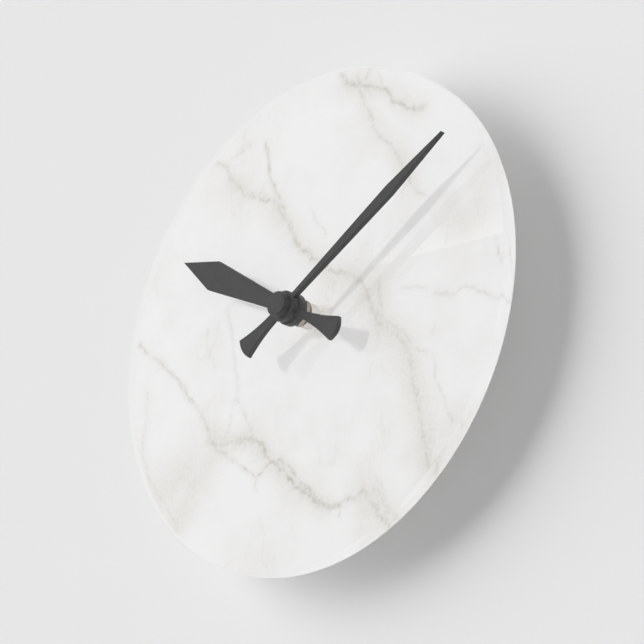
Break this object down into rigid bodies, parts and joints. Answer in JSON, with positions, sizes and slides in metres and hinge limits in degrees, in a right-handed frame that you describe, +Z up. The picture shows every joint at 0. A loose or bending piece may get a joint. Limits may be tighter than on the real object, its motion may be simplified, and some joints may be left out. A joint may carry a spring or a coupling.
{
  "type": "wall clock",
  "caption": "Round frameless wall clock: clear acrylic disc over a marble print, plain dial, dark lance hands and a battery quartz movement on the back.",
  "frame": {"origin": "on the hand axis, at the back face of the movement's cover, which rests on the wall", "axes": "+Y into the wall along the hand axis, +Z up towards twelve, +X right towards three seen from the front"},
  "size_m": [0.2032, 0.0446, 0.2032],
  "materials": {
    "clear_acrylic": "clear cast acrylic, flame-polished edge",
    "marble_print": "white marble picture printed on a white film",
    "black_rubber": "moulded rubber",
    "white_nylon": "moulded nylon",
    "nickel_plate": "satin nickel plate",
    "black_abs": "fine spark-textured ABS",
    "brass_bush": "turned brass",
    "grey_moulding": "moulded ABS",
    "zinc_steel": "zinc-plated pressed steel",
    "soft_iron": "stamped soft iron",
    "black_nylon": "moulded nylon",
    "enamelled_copper": "fine enamelled copper wire",
    "circuit_board": "bare laminate",
    "black_resin": "cured resin drop",
    "crystal_can": "drawn nickel can",
    "ceramic_chip": "fired ceramic",
    "contact_metal": "nickel-plated spring strip",
    "black_hands": "moulded, satin dark grey",
    "white_acetal": "moulded acetal",
    "knob_plastic": "moulded ABS",
    "steel_pin": "ground steel wire",
    "ferrite": "sintered ferrite",
    "battery_sleeve": "shrink sleeve"
  },
  "bodies": {
    "case": {"dial_acrylic": "clear_acrylic", "dial_print": "marble_print", "dial_gasket": "black_rubber", "spacer_ring": "white_nylon", "flat_washer": "nickel_plate", "hex_nut": "nickel_plate", "case_front": "black_abs", "threaded_bush": "brass_bush", "rear_cover": "black_abs", "train_plate": "grey_moulding", "hanger_plate": "zinc_steel", "stator_plate": "soft_iron", "coil_core": "soft_iron", "coil_bobbin": "black_nylon", "coil_winding": "enamelled_copper", "circuit_board": "circuit_board", "ic_blob": "black_resin", "quartz_crystal": "crystal_can", "chip_capacitor": "ceramic_chip", "contact_positive": "contact_metal", "contact_negative": "contact_metal"},
    "minute_shaft": {"minute_hand": "black_hands", "hand_cap": "black_hands", "cannon_pinion": "brass_bush", "clutch_spring": "contact_metal"},
    "hour_shaft": {"hour_hand": "black_hands", "hour_wheel": "white_acetal"},
    "motion_wheel": {"minute_wheel": "white_acetal"},
    "setting_shaft": {"setting_knob": "knob_plastic"},
    "centre": {"centre_wheel": "white_acetal"},
    "third": {"third_wheel": "white_acetal"},
    "seconds": {"seconds_wheel": "white_acetal", "seconds_arbor": "steel_pin"},
    "intermediate": {"intermediate_wheel": "white_acetal"},
    "rotor": {"rotor_magnet": "ferrite", "rotor_pinion": "white_acetal"},
    "battery": {"battery_cell": "battery_sleeve", "battery_terminal": "nickel_plate"}
  },
  "joints": [
    {"name": "minute_hand_turn", "type": "hinge", "parent": "case", "child": "minute_shaft", "pos_m": [0, 0, 0], "axis": [0, 1, 0], "continuous": true},
    {"name": "hour_hand_turn", "type": "hinge", "parent": "case", "child": "hour_shaft", "pos_m": [0, 0, 0], "axis": [0, 1, 0], "continuous": true},
    {"name": "minute_wheel_turn", "type": "hinge", "parent": "case", "child": "motion_wheel", "pos_m": [0.00677, 0, -0.00246], "axis": [0, 1, 0], "continuous": true},
    {"name": "setting_knob_turn", "type": "hinge", "parent": "case", "child": "setting_shaft", "pos_m": [0.01397, 0, -0.00246], "axis": [0, 1, 0], "continuous": true},
    {"name": "seconds_wheel_turn", "type": "hinge", "parent": "case", "child": "seconds", "pos_m": [0, 0, 0], "axis": [0, 1, 0], "continuous": true},
    {"name": "intermediate_wheel_turn", "type": "hinge", "parent": "case", "child": "intermediate", "pos_m": [-0.00827, 0, 0.00146], "axis": [0, 1, 0], "continuous": true},
    {"name": "rotor_turn", "type": "hinge", "parent": "case", "child": "rotor", "pos_m": [-0.01206, 0, 0.00686], "axis": [0, 1, 0], "continuous": true},
    {"name": "third_wheel_turn", "type": "hinge", "parent": "case", "child": "third", "pos_m": [0.00577, 0, 0.00577], "axis": [0, 1, 0], "continuous": true},
    {"name": "centre_wheel_turn", "type": "hinge", "parent": "case", "child": "centre", "pos_m": [0, 0, 0], "axis": [0, 1, 0], "continuous": true},
    {"name": "battery_slide", "type": "slide", "parent": "case", "child": "battery", "axis": [0, 1, 0], "range_m": [0, 0.025]}
  ],
  "couplings": [
    {"joint": "hour_hand_turn", "follows": "minute_hand_turn", "ratio": 0.083333},
    {"joint": "minute_wheel_turn", "follows": "minute_hand_turn", "ratio": -0.33333},
    {"joint": "setting_knob_turn", "follows": "minute_hand_turn", "ratio": 1},
    {"joint": "intermediate_wheel_turn", "follows": "seconds_wheel_turn", "ratio": -6},
    {"joint": "rotor_turn", "follows": "seconds_wheel_turn", "ratio": 30},
    {"joint": "third_wheel_turn", "follows": "seconds_wheel_turn", "ratio": -0.13333},
    {"joint": "centre_wheel_turn", "follows": "seconds_wheel_turn", "ratio": 0.016667}
  ]
}
